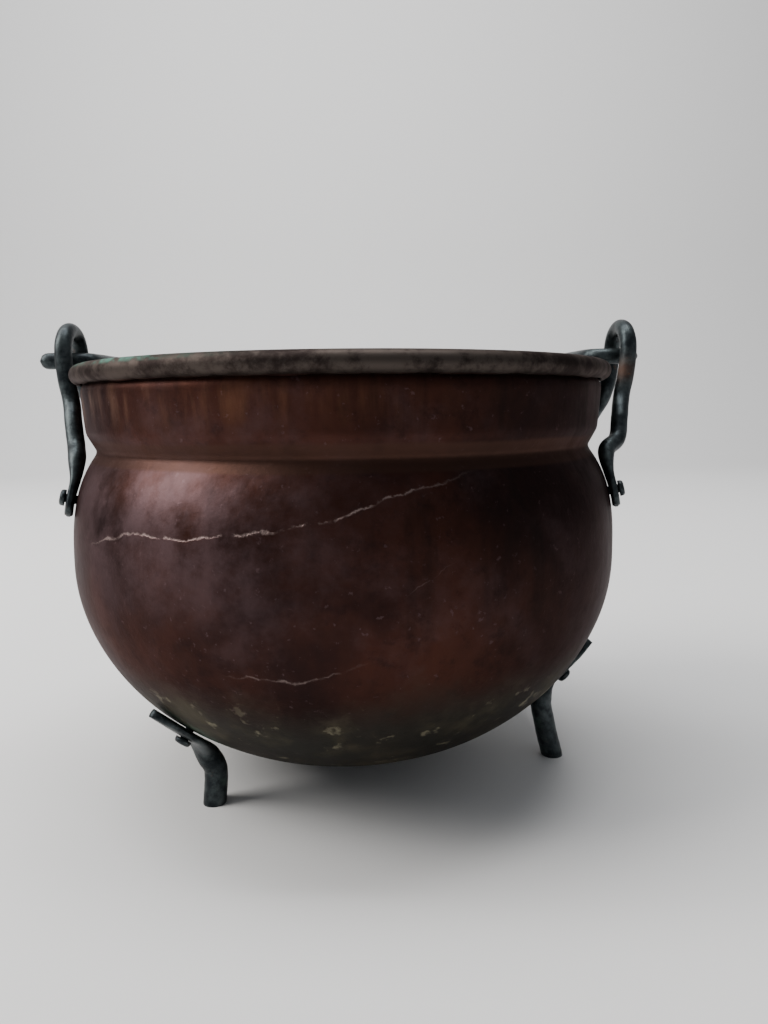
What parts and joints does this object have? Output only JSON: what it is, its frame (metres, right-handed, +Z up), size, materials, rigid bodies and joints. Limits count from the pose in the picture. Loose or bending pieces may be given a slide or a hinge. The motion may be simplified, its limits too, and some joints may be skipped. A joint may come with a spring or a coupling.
{
  "type": "footed cauldron",
  "caption": "Round-bellied copper cauldron with a rolled rim, riveted iron ears, a swinging iron bail handle and short iron feet.",
  "frame": {"origin": "on the floor under the middle of the pot", "axes": "+Z up, +X along the bail's hinge line towards the right ear, +Y towards the back, where the bail is laid"},
  "size_m": [0.236, 0.208, 0.1734],
  "materials": {
    "copper": "aged satin copper, dark brown patina",
    "iron": "forged rod, blue-black satin"
  },
  "bodies": {
    "pot": {"copper_body": "copper", "rim_wire": "iron", "left_ear": "iron", "right_ear": "iron", "foot_front_left": "iron", "foot_right": "iron", "foot_back": "iron", "left_ear_rivet_front": "iron", "left_ear_rivet_back": "iron", "right_ear_rivet_front": "iron", "right_ear_rivet_back": "iron", "foot_rivet_front_left": "copper", "foot_rivet_right": "copper", "foot_rivet_back": "copper"},
    "bail": {"bail_handle": "iron"}
  },
  "joints": [
    {"name": "bail_swing", "type": "hinge", "parent": "pot", "child": "bail", "pos_m": [0, 0, 0.1591], "axis": [1, 0, 0], "range_deg": [0, 180]}
  ]
}
